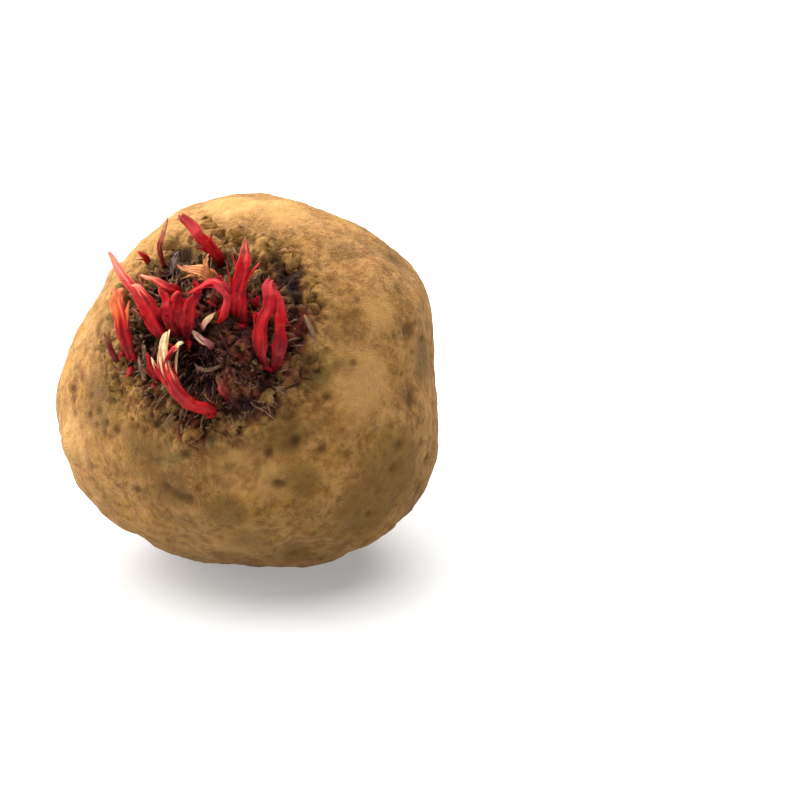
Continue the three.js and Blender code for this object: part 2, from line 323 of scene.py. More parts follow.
def make_skin():
    """Dry mottled skin: golden tan with olive and peach blotches, soiled round the crown, with painted
    highlight on raised places and painted shade in hollows and towards the bottom.
    """
    material, tree = new_material("root_skin")
    hollow = attribute(tree, "hollow")
    crest_highlight_and_dust = attribute(tree, "crest_highlight_and_dust")
    color = patches(
        tree, TAN, (GOLD, 50, 0.52, 0.14), (OLIVE, 85, 0.55, 0.14, 0.6, 3), (PEACH, 210, 0.54, 0.12, 0.6, 5),
        (RUST, 300, 0.55, 0.12, 0.65, 7), (UMBER, 430, 0.6, 0.17, 0.65, 9), (PEACH, 620, 0.6, 0.14, 0.5, 11),
        (UMBER, 1000, 0.62, 0.08, 0.5, 43),
    )
    # painted highlight on raised places, in peach
    color = cover(tree, color, crest_highlight_and_dust, 0.4, PEACH)
    # lighter skin on listed spots, among them a painted highlight on the top rim
    color = cover(tree, color, attribute(tree, "light"), 0.65, HIGHLIGHT_TAN)
    # darker skin on listed spots, among them painted shade on the lower right and the right edge, and
    # smudges of dirt
    color = cover(tree, color, attribute(tree, "shade_and_smudges"), 0.72, OLIVE)
    height = add(tree, "SeparateXYZ", {0: object_coordinates(tree)}).outputs["Z"]
    # painted shade: the skin darkens towards the bottom, near the table
    color = cover(tree, color, spread_out(tree, height, SHADED_BELOW_HEIGHT, FULLY_SHADED_HEIGHT), 0.45, OLIVE)
    color = cover(tree, color, attribute(tree, "moss"), 0.5, MOSS)
    # painted shade in hollows, pits and creases
    color = cover(tree, color, hollow, 0.75, UMBER)

    soil = patches(
        tree, SOIL, (DARK_SOIL, 260, 0.5, 0.12, 0.8, 13), (MAROON, 190, 0.56, 0.08, 0.55, 19),
        (MOSS, 240, 0.63, 0.06, 0.45, 15),
    )
    dust = patches(tree, DUST, (TAN, 300, 0.5, 0.1, 1, 17))
    # painted highlight in dust colour on the soil's raised places
    soil = cover(tree, soil, crest_highlight_and_dust, attribute(tree, "dust"), dust)
    # painted shade in the soil's hollows
    soil = cover(tree, soil, hollow, 0.92, DARK_SOIL)
    color = blend(tree, attribute(tree, "soil"), color, soil)

    heart = patches(tree, MAROON, (DARK_SOIL, 300, 0.5, 0.08, 0.8, 23), (PURPLE, 340, 0.58, 0.06, 0.7, 29))
    # painted highlight in husk colour on the heart's raised places
    heart = cover(tree, heart, crest_highlight_and_dust, 0.6, HUSK)
    # painted shade in the heart's hollows
    heart = cover(tree, heart, hollow, 0.95, BLACK_RED)
    color = blend(tree, attribute(tree, "heart"), color, heart)
    return finish_material(material, {
        "Base Color": color,
        "Roughness": spread_out(tree, grit(tree, 500, 0.4), -1.4, 1.3),
        "Normal": bump(tree, grit(tree, 700, 0.6), 0.0007),
        "Specular IOR Level": 0.14,
        "Sheen Weight": 0.05,
        "Sheen Roughness": 0.5,
    })


# the lighter red of painted highlight stripes on the stalks
STRIPE_HIGHLIGHT = tint(208, 44, 44)
WINE = tint(70, 2, 8)
BRUISE = tint(96, 3, 12)
BLUSH = tint(214, 76, 62)


def make_stalk(name, base, body, tip, tip_start, tip_end, coat=0.03):
    """Moist young leaf stalk: one colour at its base, one along its body and one at its tip."""
    material, tree = new_material(name)
    streak = veins(tree, 7, 2.5)
    place_along = work_out(tree, "ADD", attribute(tree, "along"), work_out(tree, "SUBTRACT", streak, 0.5))
    color = blend(tree, spread_out(tree, place_along, 0.1, 0.5), base, body)
    color = blend(tree, spread_out(tree, place_along, tip_start, tip_end), color, tip)
    # painted highlight: lighter red stripes on the raised veins
    color = cover(tree, color, spread_out(tree, streak, 0.6, 0.8), 0.25, STRIPE_HIGHLIGHT)
    color = cover(tree, color, spread_out(tree, streak, 0.46, 0.3), 0.6, WINE)
    color = patches(tree, color, (BRUISE, 330, 0.57, 0.14, 0.65, 51), (BLUSH, 420, 0.66, 0.14, 0.4, 53))
    return finish_material(material, {
        "Base Color": color,
        "Roughness": spread_out(tree, streak, -0.35, 1.5),
        "Normal": bump(tree, grit(tree, 1300, 0.5), 0.00014, bump(tree, streak, 0.0005)),
        "Specular IOR Level": 0.14,
        "Coat Weight": coat,
        "Coat Roughness": 0.3,
        "Subsurface Weight": 0.1,
        "Subsurface Radius": (1, 0.2, 0.15),
        "Subsurface Scale": 0.0012,
    })


def make_dry(name, dark, middle, pale, rough_low=0.62):
    """Dry fibrous leaf remains: streaked lengthwise, darker towards the base."""
    material, tree = new_material(name)
    streak = veins(tree, 9, 1.5)
    color = blend(tree, spread_out(tree, streak, 0.35, 0.6), dark, middle)
    outer = spread_out(tree, attribute(tree, "along"), 0.3, 1)
    color = cover(tree, color, outer, spread_out(tree, streak, 0.45, 0.65), pale)
    color = patches(tree, color, (dark, 500, 0.58, 0.08, 0.6, 31))
    return finish_material(material, {
        "Base Color": color,
        "Roughness": spread_out(tree, streak, -1.6 * rough_low / (1.3 - rough_low), 1.3),
        "Normal": bump(tree, grit(tree, 1400, 0.6), 0.00012, bump(tree, streak, 0.0004)),
        "Specular IOR Level": 0.3,
    })


def make_crust(name, main, dark, per_metre, dusty):
    """Dry soil and dead skin in small blotches: a main colour, a dark one, dust and moss."""
    material, tree = new_material(name)
    color = patches(
        tree, main, (dark, per_metre, 0.52, 0.1, 0.8, 37), (DUST, 1.2 * per_metre, 0.5, 0.1, dusty, 41),
        (MOSS, 0.7 * per_metre, 0.6, 0.06, dusty, 47),
    )
    return finish_material(material, {
        "Base Color": color,
        "Roughness": spread_out(tree, grit(tree, 900, 0.4), -2, 1),
        "Normal": bump(tree, grit(tree, 1500, 0.6), 0.0003),
        "Specular IOR Level": 0.16,
    })


CRIMSON = tint(184, 1, 18)
DEEP_RED = tint(96, 3, 10)
SALMON = tint(222, 122, 92)
ROSE = tint(208, 56, 66)
CREAM = tint(236, 206, 152)
ORANGE = tint(222, 110, 54)
WITHERED = tint(112, 26, 26)
FADED = tint(204, 166, 140)

SKIN = make_skin()
STALK_BRIGHT = make_stalk("stalk_bright", DEEP_RED, CRIMSON, SALMON, 0.78, 1.05)
STALK_TORN = make_stalk("stalk_torn", DEEP_RED, tint(178, 8, 14), tint(140, 40, 30), 0.7, 1)
STALK_SALMON = make_stalk("stalk_salmon_tip", tint(172, 2, 18), tint(172, 12, 22), SALMON, 0.6, 1)
STALK_ROSE = make_stalk("stalk_rose", tint(188, 16, 24), ROSE, CRIMSON, 0.5, 0.72)
STALK_ORANGE = make_stalk("stalk_orange_tip", tint(150, 4, 18), tint(166, 2, 18), ORANGE, 0.5, 0.75)
STALK_CREAM = make_stalk("stalk_cream_tip", tint(174, 18, 22), tint(158, 8, 14), CREAM, 0.72, 0.86)
STALK_DEEP = make_stalk("stalk_deep", DEEP_RED, tint(164, 1, 16), tint(170, 12, 24), 0.6, 1)
STALK_DARK = make_stalk("stalk_withered", tint(60, 14, 14), WITHERED, tint(120, 76, 50), 0.5, 0.9, 0)
STALK_RUST = make_stalk("stalk_rust", tint(96, 24, 20), tint(146, 56, 38), tint(176, 120, 84), 0.5, 0.9, 0)
SLIVER = make_stalk("pale_sliver", tint(206, 120, 120), tint(226, 158, 140), CREAM, 0.4, 0.9, 0)
DULL_SLIVER = make_stalk("dull_sliver", tint(120, 60, 62), tint(172, 104, 102), FADED, 0.4, 0.9, 0)
DRY_LEAF = make_dry("dry_leaf", tint(160, 88, 46), tint(210, 136, 76), tint(230, 178, 126), 0.5)
DRY_GREY = make_dry("dry_sheath", tint(70, 56, 50), tint(128, 108, 100), tint(168, 150, 142))
DRY_STUB = make_dry("dry_stub", tint(66, 42, 22), tint(112, 80, 44), tint(158, 122, 78))
DRY_FIBRE = make_dry("dry_fibre", tint(96, 66, 46), tint(156, 118, 88), tint(192, 154, 120))
DRY_HEART = make_dry("dry_heart", tint(44, 12, 14), tint(92, 34, 32), tint(150, 96, 84))
CRUMBS = make_crust("soil_crumbs", SOIL, DARK_SOIL, 500, 0.3)
SOILED_STUB = make_crust("soiled_leaf_stub", SOIL, DARK_SOIL, 420, 0.3)
DUSTY_STUB = make_crust("dusty_leaf_stub", TAN, SOIL, 420, 0.6)

# Table

TABLE_SIDE = 6
TABLE_GREY = (0.38, 0.38, 0.38, 1)
TABLE_GLOW = 0.32
table_maker = bmesh.new()
bmesh.ops.create_grid(table_maker, x_segments=1, y_segments=1, size=TABLE_SIDE)
table_material = finish_material(new_material("table")[0], {
    "Base Color": TABLE_GREY,
    "Emission Color": (1, 1, 1, 1),
    "Emission Strength": TABLE_GLOW,
    "Roughness": 0.6,
})
table = new_piece("table", table_maker, table_material)

# The root

SAME_PLACE = 0.00001
EVEN_FACE = 0.00073
IN_FRONT = 90
CROWN_MIDDLE = Vector((-6, 12.5, 43)).normalized()
DARK_MIDDLE = Vector((-4.5, 8.5, 43.5)).normalized()
TAIL_HEADING = Vector((9, -4, -40)).normalized()
ARC_REACH = 44
CROWN_ARC = 25
FINE_ARC = 28


def arc_from(middle, across, up, towards):
    """How far a place is from a middle, in millimetres along the root's surface."""
    way = Vector((across, up, towards)).normalized()
    return acos(min(max(way.dot(middle), -1), 1)) * ARC_REACH


def round_from(middle, across, up, towards):
    """The way round a middle in which a place lies, as a unit vector's two parts."""
    way = Vector((across, up, towards)).normalized()
    right = middle.cross(Vector((0, 1, 0))).normalized()
    above = right.cross(middle)
    turn = atan2(way.dot(above), way.dot(right))
    return cos(turn), sin(turn)


def even_root():
    """The root's solid, rounded and cut into small even faces, with smaller ones in the crown."""
    maker = bmesh.new()
    maker.from_mesh(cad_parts["root"].data)
    bmesh.ops.remove_doubles(maker, verts=maker.verts, dist=SAME_PLACE)
    bmesh.ops.join_triangles(maker, faces=maker.faces, angle_face_threshold=pi, angle_shape_threshold=pi)
    rough = new_piece("root_rough", maker, SKIN)
    rounding = rough.modifiers.new("rounding", "SUBSURF")
    rounding.levels = rounding.render_levels = 2
    evening = rough.modifiers.new("evening", "REMESH")
    evening.mode = "VOXEL"
    evening.voxel_size = EVEN_FACE
    shape = rough.evaluated_get(bpy.context.evaluated_depsgraph_get())
    maker = bmesh.new()
    maker.from_mesh(bpy.data.meshes.new_from_object(shape))
    bpy.data.objects.remove(rough)
    for _ in range(2):
        bmesh.ops.smooth_vert(
            maker, verts=maker.verts, factor=0.5, use_axis_x=True, use_axis_y=True, use_axis_z=True
        )
    crown = {v for v in maker.verts if arc_from(CROWN_MIDDLE, *facing(v.co)) < FINE_ARC}
    edges = [e for e in maker.edges if e.verts[0] in crown and e.verts[1] in crown]
    bmesh.ops.subdivide_edges(maker, edges=edges, cuts=1, use_grid_fill=True, smooth=0)
    return maker


root_maker = even_root()
root_base = BVHTree.FromBMesh(root_maker)


def on_root(tree, across, up):
    """The root's front at a place across and up, or its nearest point, with the way it faces."""
    point, normal, _, _ = tree.ray_cast(place(across, up, IN_FRONT), -TOWARDS)
    if point is None:
        point, normal, _, _ = tree.find_nearest(place(across, up, 0))
    return point, normal


def wrinkled(spot, size, shift=0):
    """Smooth noise with features of the given size in millimetres."""
    return noise.noise(spot / size + Vector((shift, shift, shift)))


def dimples(spot, size, share, reach):
    """How deep a place lies in scattered round dimples, of which only a share of the cells has one."""
    far, middles = noise.voronoi(spot / size)
    if noise.cell(middles[0] * 7.3) > share:
        return 0
    return 1 - ease(far[0], 0, reach)


def skin_height(spot):
    """Height of the skin all over, in millimetres: slow lumps, wrinkles and dimples."""
    lumps = 0.8 * wrinkled(spot, 15) + 0.6 * wrinkled(spot, 8, 5) + 0.32 * wrinkled(spot, 3.8, 9)
    grain = 0.13 * noise.fractal(spot / 1.6, 0.7, 2, 3)
    wide_dimples = 0.3 * dimples(spot, 6, 0.24, 0.3)
    small_dimples = 0.2 * dimples(spot + Vector((31, 7, 3)), 3.4, 0.16, 0.35)
    return lumps + grain - wide_dimples - small_dimples


def crown_height(spot, arc, ways):
    """Height of the crown's crust, in millimetres: knobs, torn fibres, leaf scars and grain."""
    knobs = 1.5 * noise.fractal(spot / 5, 1, 2, 2)
    torn = 0.25 * (0.3 - abs(wrinkled(spot, 3.2, 3))) + 0.5 * (0.3 - abs(wrinkled(spot, 1.4, 5)))
    grain = 0.65 * noise.fractal(spot / 1.2, 0.5, 2, 4)
    bend = 2.4 * wrinkled(spot, 7, 13)
    along = (arc + bend) / 5
    fibres = 2 * (0.22 - abs(noise.noise(Vector((ways[0] * 6, ways[1] * 6, along)))))
    fibres += 1.3 * (0.22 - abs(noise.noise(Vector((ways[0] * 13, ways[1] * 13, along * 1.5 + 9)))))
    rings = 0.5 * sin((arc + bend) * 2 * pi / 3.6) * ease(arc, 10, 14)
    rings *= max(0, 0.4 + wrinkled(spot, 5, 17) * 1.6)
    cracks = -1.2 * ease(abs(wrinkled(spot, 4.1, 43)), 0.09, 0)
    return knobs + torn + grain + fibres + rings + cracks


def crease_height(spot, arc, ways):
    """Height of the short creases that run across the root, round its tap root, in millimetres."""
    line = noise.noise(Vector((ways[0] * 4, ways[1] * 4, (arc + 3 * wrinkled(spot, 12, 71)) / 2.2)))
    here = ease(wrinkled(spot, 11, 73), -0.1, 0.35)
    deep = 0.22 + 0.5 * ease(arc, 40, 12)
    return -deep * here * ease(abs(line), 0.16, 0)


def tail_height(spot, arc, ways):
    """Height of the rings and furrows round the tap root, in millimetres."""
    near = ease(arc, 30, 6)
    rings = 0.4 * sin(arc * 2 * pi / 3.4 + 5 * wrinkled(spot, 9, 21))
    rings *= ease(abs(wrinkled(spot, 6, 23)), 0.02, 0.3)
    furrows = -0.8 * ease(abs(noise.noise(Vector((ways[0] * 3, ways[1] * 3, arc / 16)))), 0.14, 0)
    return near * (rings + furrows)


# Knobs, swells and pits that the front shows: across, up, radius and height in millimetres.
KNOBS = [
    (-9.9, 35, 2.6, 1.1), (-6.2, 36, 2, 0.8), (0.5, 34.6, 2.6, 1), (4.4, 32, 2.2, 0.8), (-13, 33, 2.6, 1),
    (-5.6, 31.6, 1.8, 0.7), (-16.4, 30, 2.2, 0.9), (-1.2, 27.8, 2.4, 0.9), (10.6, 26.6, 1.8, 1),
    (11, 20.9, 1.6, 0.6), (7.5, 29.4, 2.2, 0.7), (14.5, 24, 2, 0.5), (-19.9, 25.6, 1.8, 0.8),
    (-23, 21, 2, 0.7), (-27.5, 14.9, 2.2, 0.7), (-20, -2.9, 1.6, 0.5), (-16.6, -8, 1.8, 0.6),
    (-23.6, 1.5, 1.8, 0.6), (-12, -14.6, 2, 0.5), (2, 8, 4.6, 1.3), (2.5, 1.5, 3.6, 0.9),
    (-2.4, 12.5, 2.2, 0.8), (13.6, 11, 2, 0.5), (15.8, 16.8, 1.8, 0.5), (12, 0, 2, 0.6),
    (7.6, -8, 2, 0.6), (-9, -12, 2.2, 0.6), (24.5, 9.7, 0.7, 0.35), (9.2, -19.5, 2.4, 0.5),
    (6.8, -22, 1.6, 0.4),
]
SWELLS = [
    (29.5, -35, 8, 1.8), (-30, 26, 4.5, 1.3), (-35, 13, 5, -1.4), (-40, -14.5, 5, 1.2),
    (-14, -38, 7, -1.1), (14, -39, 7, -1.3), (40, 15, 5, 0.8),
]
PITS = [
    (-2.7, 32.8, 2.3, 1.7), (-8, 6.5, 4, 2.2), (-7.2, 1.2, 4.2, 2.6), (-11.8, 21.6, 2.2, 1.6),
    (-2.7, 24.5, 2.2, 1.4), (-6.2, 11.3, 2.2, 1.3), (-18.4, 9.1, 2.6, 1.4), (6.9, 21.1, 2.4, 1.5),
    (6.9, 17.6, 2, 1.2), (12, 24, 1.8, 1.2), (-15.4, 17.6, 2, 1.4), (-13.8, 13, 1.8, 1), (-7, 27, 2, 1),
    (5, 12.5, 1.6, 0.9), (-18, -3.4, 1.2, 0.6), (9.4, 27.6, 1.8, 1.1), (12.6, 21.4, 2, 1.1),
    (13.8, 17.6, 1.6, 0.8), (13, 13.6, 1.5, 0.7), (-3, -2, 3, 1.2), (1.4, -7.4, 1.8, 0.8),
    (6, -1, 1.6, 0.7), (14.6, 9, 1.3, 0.6), (-14.5, 24.5, 2.2, 1.4), (-17.5, 21, 1.6, 1),
    (-12.6, 27.2, 3.6, 1.8), (-4.3, 27, 2.4, 1.7), (11.4, 25.4, 3, 1.4), (-18.6, 10.6, 3, 1.5),
    (-10.6, 1, 3.2, 1.6), (-38.1, -1.5, 1.3, 0.4), (-38.1, -4.3, 1.2, 0.4), (-37.6, -7, 1.2, 0.4),
    (-33.4, -3.1, 1.3, 0.5), (-30.9, -6.7, 1.4, 0.5), (-33.5, -7.4, 1.1, 0.5), (-28.5, -9.2, 1.1, 0.5),
    (-31.2, -9.6, 1, 0.4), (-26.1, -10.7, 1.1, 0.5), (-27.3, -4.3, 1.3, 0.4), (-16.8, -9.3, 1.1, 0.6),
    (-1.4, -11.1, 1, 0.7), (-22.5, -24, 1.2, 0.4), (-15.4, -23.4, 1.5, 0.6), (-13, -25.2, 1.9, 0.8),
    (-10.4, -26, 1.8, 0.8), (9.2, -22.4, 1.2, 0.7), (10.6, -22.8, 1.2, 0.7), (13.6, -13.1, 1.6, 0.4),
    (19.4, -14.9, 1.3, 0.3), (20.5, -3.4, 1.3, 0.5), (7.7, -15.7, 1.2, 0.4), (36.2, -14.2, 1.3, 0.3),
    (37.8, 11.8, 2.2, 0.4), (38.7, -3.6, 2.4, 0.5), (15.7, 16.7, 1.1, 0.5), (19.2, 17, 1, 0.3),
    (25.8, 4.2, 1.1, 0.3), (-10.8, -16, 1.4, 0.4),
]
# Spots of colour, painted shade and painted highlight that the front shows: across, up and radius in
# millimetres.
MOSSY = [
    (-1.2, 27.8, 3.4), (10.6, 26.6, 3.2), (11, 20.9, 2.2), (-19.9, 24.8, 3.6), (-27.6, 15, 3.6),
    (-13.6, -6.9, 3.2), (-13.2, -16.6, 2), (-9, 27.6, 2.6), (-22, 19, 2.4),
]
MAROON_PATCHES = [
    (-7.4, 3.4, 6.6), (-8, 8, 5), (1, -3.6, 4.6), (-9.2, -10.2, 5), (12, 22, 3), (-14, 24.8, 3),
    (-5, 17, 5), (4.5, 18, 3), (-12, -2, 3), (-6, -4, 4), (-20, 6, 3), (-12, 14, 4), (4, 4, 7),
    (7, -4, 4), (1, 9, 4.6), (13.4, 13, 5), (12, 8, 4),
]
# Cavities darkened with painted shade, laid on as dark soil and as hollow shade.
SHADED_CAVITIES = [
    (-12.6, 27.2, 4.2), (-4.3, 27, 2.8), (11.8, 25, 4), (-18.6, 10.6, 3.8), (-10.6, 1, 4.2),
    (-15.5, 17.6, 2.4), (13, 20, 2.4), (6.9, 18.5, 2.4), (-7, 12, 2.6), (-6, 5, 4), (3, -5, 2.2),
]
# Lighter skin, among them a painted highlight on the top rim.
PALE_AND_HIGHLIGHT_SPOTS = [
    (2, -20, 8), (8, -22, 6), (27, 1, 10), (32, 16, 6), (-38, -12, 7), (20, 9, 5), (-2, 41, 8),
    (11, 39, 8), (-2, -37, 6),
]
# Darker skin, among them painted shade on the lower right and the right edge.
DARK_AND_SHADED_SPOTS = [
    (-30, -4, 9), (35, -20, 12), (29, -28, 10), (42, 5, 7), (11, -12, 6), (15, -22, 5), (-14, -24, 6),
    (17, 1, 5), (-20, -14, 7), (-2, -29, 6), (24, 30, 5),
]
SPOTTED = (
    ("moss", MOSSY), ("heart", MAROON_PATCHES), ("light", PALE_AND_HIGHLIGHT_SPOTS), ("shade_and_smudges", DARK_AND_SHADED_SPOTS), ("soil", SHADED_CAVITIES),
    ("hollow", SHADED_CAVITIES),
)

# What the skin's material reads at each vertex, among them painted shade in hollows and painted highlight on
# crests.
MASKS = ("soil", "heart", "moss", "hollow", "crest_highlight_and_dust", "dust", "light", "shade_and_smudges")
SOIL_FADE = 7
HIDDEN_SPOTS = 130
SMUDGED = 0.2
SMUDGE_SIZE = 5
SPOT_FADE = 1.4
COLOUR_FADE = 1.3
OUTSIDE = 0.09
TAIL_WAY = (ACROSS * TAIL_HEADING.x + UP * TAIL_HEADING.y + TOWARDS * TAIL_HEADING.z).normalized()
TAIL_START = 47
TAIL_WANDER = 0.16


def measure_skin(raised, masks, near):
    """Works out how far each vertex is raised and what its material has to know about it."""
    for vert in root_maker.verts:
        near.insert(vert.co / MM, vert.index)
        across, up, towards = facing(vert.co)
        spot = vert.co / MM
        wobble = 3.2 * wrinkled(spot, 9, 31) + 1.8 * wrinkled(spot, 3.5, 37)
        arc = arc_from(CROWN_MIDDLE, across, up, towards)
        crust = 1 - ease(arc + wobble, CROWN_ARC - 9, CROWN_ARC + 7)
        grime = 1 - ease(arc, CROWN_ARC, CROWN_ARC + 14)
        height = skin_height(spot) + grime * 0.42 * noise.fractal(spot / 1.9, 0.7, 2, 3)
        # painted shade in low places
        hollow = ease(height, -0.35, -1.1) * 0.5
        # painted highlight on raised places
        crest_highlight_and_dust = ease(height, 0.1, 0.9) * 0.8
        if crust > 0:
            rough = crown_height(spot, arc, round_from(CROWN_MIDDLE, across, up, towards))
            height = height * (1 - 0.5 * crust) + crust * rough
            hollow += (ease(rough, 0.1, -1.1) - hollow) * crust
            crest_highlight_and_dust += (ease(rough, 0.1, 1.3) - crest_highlight_and_dust) * crust
        behind = arc_from(TAIL_HEADING, across, up, towards)
        ways = round_from(TAIL_HEADING, across, up, towards)
        creases = crease_height(spot, behind, ways) * (1 - crust)
        height += creases + tail_height(spot, behind, ways)
        raised[vert.index] = height
        masks["crest_highlight_and_dust"][vert.index] = crest_highlight_and_dust
        # painted shade in low places and in the creases
        masks["hollow"][vert.index] = max(hollow, ease(-creases, 0.05, 0.4) * 0.6)
        dark = arc_from(DARK_MIDDLE, across, up, towards) + wobble * 1.5
        specks = ease(wrinkled(spot, 3.2, 61) + wrinkled(spot, 1.4, 63), -0.4, 0.5)
        lower_left = ease(-0.8 * across - up, 0, 26)
        haze = (1 - ease(dark, 20, 42 + 14 * lower_left)) * (0.35 + 0.65 * specks)
        soil = 0.96 * (1 - ease(dark, 16, 16 + SOIL_FADE))
        behind_haze = ease(behind + 6 * wrinkled(spot, 7, 83), 26, 4) * (0.3 + 0.7 * specks)
        masks["soil"][vert.index] = soil + (1 - soil) * max(0.74 * haze, 0.6 * behind_haze)
        masks["dust"][vert.index] = 0.25 + 0.55 * ease(up, 20, 34) + 0.2 * ease(dark, 14, 24)
    near.balance()


def each_near(near, point, radius):
    """The vertices near a point, with how fully they are under it: 1 in its middle, 0 at its edge."""
    for _, index, far in near.find_range(point / MM, radius):
        yield index, 1 - ease(far, 0, radius)


def deepen(mask, index, share):
    """Adds to a mask at one vertex, up to its full strength."""
    mask[index] = min(1, mask[index] + share)


def add_front_spots(raised, masks, near):
    """Adds the knobs, swells, pits and coloured spots of the crown and the front."""
    for across, up, radius, height in KNOBS + SWELLS:
        for index, share in each_near(near, on_root(root_base, across, up)[0], radius * SPOT_FADE):
            raised[index] += height * share
    for across, up, radius, depth in PITS:
        for index, share in each_near(near, on_root(root_base, across, up)[0], radius * SPOT_FADE):
            raised[index] -= depth * share
            # painted shade in the pits
            deepen(masks["hollow"], index, share * 1.2)
            masks["crest_highlight_and_dust"][index] *= 1 - share
    for name, spots in SPOTTED:
        for across, up, radius in spots:
            for index, share in each_near(near, on_root(root_base, across, up)[0], radius * COLOUR_FADE):
                deepen(masks[name], index, ease(share, 0, 0.7))


def random_way():
    """A random way in space, not yet one unit long."""
    return Vector((random.gauss(0, 1), random.gauss(0, 1), random.gauss(0, 1)))


def add_hidden_spots(raised, masks, near):
    """Scatters shallow pits, low pimples and smudges over the sides, the back and the underside."""
    for _ in range(HIDDEN_SPOTS):
        way = random_way().normalized()
        point, _, _, _ = root_base.ray_cast(ROOT_MIDDLE + way * OUTSIDE, -way)
        radius = random.uniform(0.8, 2)
        depth = random.uniform(0.2, 0.7) * random.choice((1, 1, -0.6))
        if point is None or arc_from(CROWN_MIDDLE, *facing(point)) < 2 * CROWN_ARC:
            continue
        for index, share in each_near(near, point, radius * SPOT_FADE):
            raised[index] -= depth * share
            # painted shade in the pits
            deepen(masks["hollow"], index, max(0, depth) * share)
        if random.random() < SMUDGED:
            for index, share in each_near(near, point, radius * SMUDGE_SIZE):
                deepen(masks["shade_and_smudges"], index, share)


def grow_root():
    """Raises the skin and crown, bends the tap root and gives the mesh what its material reads."""
    random.seed(4)
    root_maker.verts.ensure_lookup_table()
    root_maker.normal_update()
    count = len(root_maker.verts)
    raised = [0.0] * count
    masks = {name: [0.0] * count for name in MASKS}
    near = KDTree(count)
    measure_skin(raised, masks, near)
    add_front_spots(raised, masks, near)
    add_hidden_spots(raised, masks, near)
    layers = {name: root_maker.verts.layers.float.new(name) for name in masks}
    for vert in root_maker.verts:
        vert.co += vert.normal * raised[vert.index] * MM
        along = max(0, (vert.co - ROOT_MIDDLE).dot(TAIL_WAY) / MM - TAIL_START)
        vert.co += noise.noise_vector(Vector((3, 7, along / 7))) * TAIL_WANDER * along * MM
        vert.co.z = max(vert.co.z, 0)
        for name, values in masks.items():
            vert[layers[name]] = values[vert.index]


grow_root()
root_skin = BVHTree.FromBMesh(root_maker)
tail_tip = max(root_maker.verts, key=lambda vert: vert.co.y).co.copy()
root_piece = new_piece("root_with_crown", root_maker, SKIN)
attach(root_piece, BODY)
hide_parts("root")

# Stalks


def smooth_point(path, share):
    """The point at a share of the way along the smooth curve through a path."""
    spans = len(path) - 1
    start = min(int(share * spans), spans - 1)
    t = share * spans - start
    before, here = path[max(start - 1, 0)], path[start]
    there, after = path[start + 1], path[min(start + 2, spans)]
    slope = (there - before) * t
    bow = (before * 2 - here * 5 + there * 4 - after) * t * t
    turn = (here * 3 - before - there * 3 + after) * t * t * t
    return (here * 2 + slope + bow + turn) / 2


def width_at(widths, share):
    """Width a share of the way along, from those at the base, halfway and at the tip."""
    base, middle, tip = widths
    if share < 0.5:
        return base + (middle - base) * ease(share, 0, 0.5)
    return middle + (tip - middle) * ease(share, 0.5, 1)


def strand_layers(maker):
    """The layers that hold a point's places along and round its strand, and the strand's number."""
    floats = maker.verts.layers.float
    return [floats.get(name) or floats.new(name) for name in ("along", "around", "strand")]


def grow_stalk(maker, path, widths, look, number, front_way=None):
    """Draws a ring of points along a path, ring by ring, into a channelled stalk with a torn tip."""
    side_of = maker.verts.layers.int.get("side") or maker.verts.layers.int.new("side")
    layers = strand_layers(maker)
    sides, rows = look["sides"], look["rows"]
    points = [place(*spot) for spot in path]
    shares = [1 - (1 - row / (rows - 1)) ** 1.25 for row in range(rows)]
    centres = [smooth_point(points, share) for share in shares]
    for row, share in enumerate(shares):
        sway = noise.noise_vector(Vector((number * 5.1, 3, share * 5)))
        centres[row] += sway * look["sway"] * widths[1] * ease(share, 0.1, 0.5) * MM
    headings = [(centres[min(i + 1, rows - 1)] - centres[max(i - 1, 0)]).normalized() for i in range(rows)]
    outward = front_way or points[0] - points[-1]
    seed = Vector((number * 3.7, number * 1.9, 0))

    def lay(ring, row):
        """Puts a ring's points round the path at one row."""
        nonlocal outward
        heading, share = headings[row], shares[row]
        outward = (outward - heading * outward.dot(heading)).normalized()
        lean = look["twist"] * (share - 0.5) + look["turn"]
        across = heading.cross(outward)
        front = outward * cos(lean) + across * sin(lean)
        side = heading.cross(front)
        half = width_at(widths, share) * MM / 2
        half *= 1 + 0.3 * noise.noise(seed + Vector((0, 0, share * 6)))
        half *= sqrt(max(1 - share ** look["blunt"], 0.03))
        for vert in ring:
            turn = 2 * pi * vert[side_of] / sides
            edge = cos(turn)
            rise = sin(turn) * look["flat"]
            groove = look["groove"] * exp(-((edge / 0.42) ** 2)) if rise > 0 else 0
            lump = noise.noise(seed + Vector((edge, rise, share * 6)) * 1.7)
            rib = 1 + 0.08 * cos(5 * turn + number) + 0.32 * lump
            tear = look["tear"] * MM * ease(share, 0.66, 1)
            tear *= noise.noise(seed + Vector((edge * 2.2, rise * 2.2, 7)))
            vert.co = centres[row] + (side * edge + front * (rise - groove)) * half * rib + heading * tear
            for layer, value in zip(layers, (share, abs(vert[side_of] / sides * 2 - 1), number)):
                vert[layer] = value

    ring = bmesh.ops.create_circle(maker, cap_ends=True, segments=sides, radius=MM)["verts"]
    for index, vert in enumerate(ring):
        vert[side_of] = index
    lid = ring[0].link_faces[0]
    lay(ring, 0)
    for row in range(1, rows):
        grown = bmesh.ops.extrude_face_region(maker, geom=[lid, *lid.edges, *lid.verts])["geom"]
        ring = [part for part in grown if isinstance(part, bmesh.types.BMVert)]
        faces = [part for part in grown if isinstance(part, bmesh.types.BMFace)]
        lid = next(face for face in faces if len(face.verts) == sides)
        lay(ring, row)


